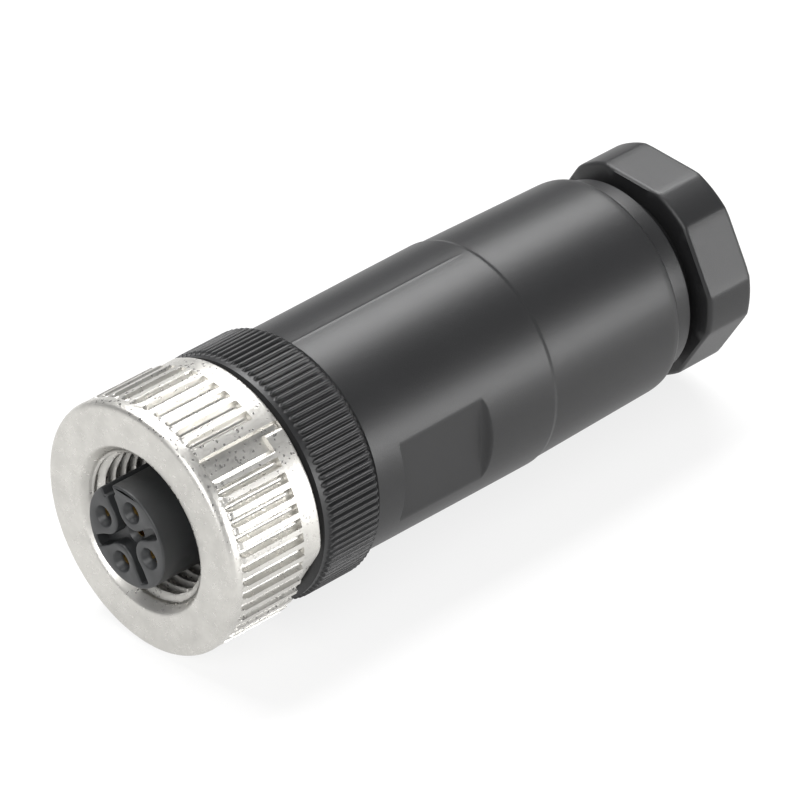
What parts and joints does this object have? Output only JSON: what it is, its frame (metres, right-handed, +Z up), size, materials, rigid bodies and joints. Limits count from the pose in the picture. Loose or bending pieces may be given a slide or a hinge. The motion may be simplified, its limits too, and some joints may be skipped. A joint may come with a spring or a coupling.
{
  "type": "circular cable connector",
  "caption": "Straight cable socket with a knurled metal coupling nut, keyed contact insert, ribbed grip ring, screw-on barrel and hexagonal cable gland.",
  "frame": {"origin": "on the connector's axis, at the front face of the coupling nut", "axes": "+X along the axis towards the cable, +Z up with the connector lying on its side"},
  "size_m": [0.0552, 0.02, 0.02],
  "materials": {
    "nickel_zinc": "die-cast zinc, nickel plated, satin",
    "black_polyamide": "moulded polyamide, fine grain",
    "insert_plastic": "moulded, satin",
    "seal_rubber": "moulded rubber",
    "gold_brass": "turned, gold plated",
    "zinc_steel": "turned, zinc plated",
    "grey_plastic": "moulded, satin"
  },
  "bodies": {
    "insert_unit": {"contact_carrier": "insert_plastic", "grip_ring": "black_polyamide", "front_seal": "seal_rubber", "housing_seal": "seal_rubber", "contact_1": "gold_brass", "contact_2": "gold_brass", "contact_3": "gold_brass", "contact_4": "gold_brass", "contact_5": "gold_brass", "terminal_block": "insert_plastic"},
    "coupling_nut": {"coupling_nut": "nickel_zinc"},
    "clamp_unit": {"clamp_cage": "grey_plastic", "cable_grommet": "seal_rubber"},
    "barrel": {"barrel": "black_polyamide"},
    "thrust_washer": {"thrust_washer": "grey_plastic"},
    "gland_nut": {"gland_nut": "black_polyamide"},
    "terminal_screw_1": {"terminal_screw_1": "zinc_steel"},
    "terminal_screw_2": {"terminal_screw_2": "zinc_steel"},
    "terminal_screw_3": {"terminal_screw_3": "zinc_steel"},
    "terminal_screw_4": {"terminal_screw_4": "zinc_steel"},
    "terminal_screw_5": {"terminal_screw_5": "zinc_steel"}
  },
  "joints": [
    {"name": "coupling_nut_spin", "type": "hinge", "parent": "insert_unit", "child": "coupling_nut", "pos_m": [0.004, 0, 0], "axis": [1, 0, 0], "continuous": true},
    {"name": "barrel_travel", "type": "slide", "parent": "insert_unit", "child": "clamp_unit", "axis": [1, 0, 0], "range_m": [0, 0.0055]},
    {"name": "barrel_turn", "type": "hinge", "parent": "clamp_unit", "child": "barrel", "pos_m": [0.03, 0, 0], "axis": [1, 0, 0], "range_deg": [0, 1980]},
    {"name": "gland_travel", "type": "slide", "parent": "barrel", "child": "thrust_washer", "axis": [1, 0, 0], "range_m": [0, 0.0045]},
    {"name": "gland_turn", "type": "hinge", "parent": "thrust_washer", "child": "gland_nut", "pos_m": [0.05, 0, 0], "axis": [1, 0, 0], "range_deg": [0, 1620]},
    {"name": "terminal_screw_1_turn", "type": "hinge", "parent": "insert_unit", "child": "terminal_screw_1", "pos_m": [0.02268, -0.00097, 0.00388], "axis": [0, -0.2419, 0.9703], "range_deg": [0, 900]},
    {"name": "terminal_screw_2_turn", "type": "hinge", "parent": "insert_unit", "child": "terminal_screw_2", "pos_m": [0.02268, -0.00388, -0.00097], "axis": [0, -0.9703, -0.2419], "range_deg": [0, 900]},
    {"name": "terminal_screw_3_turn", "type": "hinge", "parent": "insert_unit", "child": "terminal_screw_3", "pos_m": [0.02268, 0.00097, -0.00388], "axis": [0, 0.2419, -0.9703], "range_deg": [0, 900]},
    {"name": "terminal_screw_4_turn", "type": "hinge", "parent": "insert_unit", "child": "terminal_screw_4", "pos_m": [0.02268, 0.00388, 0.00097], "axis": [0, 0.9703, 0.2419], "range_deg": [0, 900]},
    {"name": "terminal_screw_5_turn", "type": "hinge", "parent": "insert_unit", "child": "terminal_screw_5", "pos_m": [0.02858, -0.00343, 0.00206], "axis": [0, -0.8572, 0.515], "range_deg": [0, 900]}
  ],
  "couplings": [
    {"joint": "barrel_travel", "follows": "barrel_turn", "m_per_rad": 0.00015915},
    {"joint": "gland_travel", "follows": "gland_turn", "m_per_rad": 0.00015915}
  ]
}
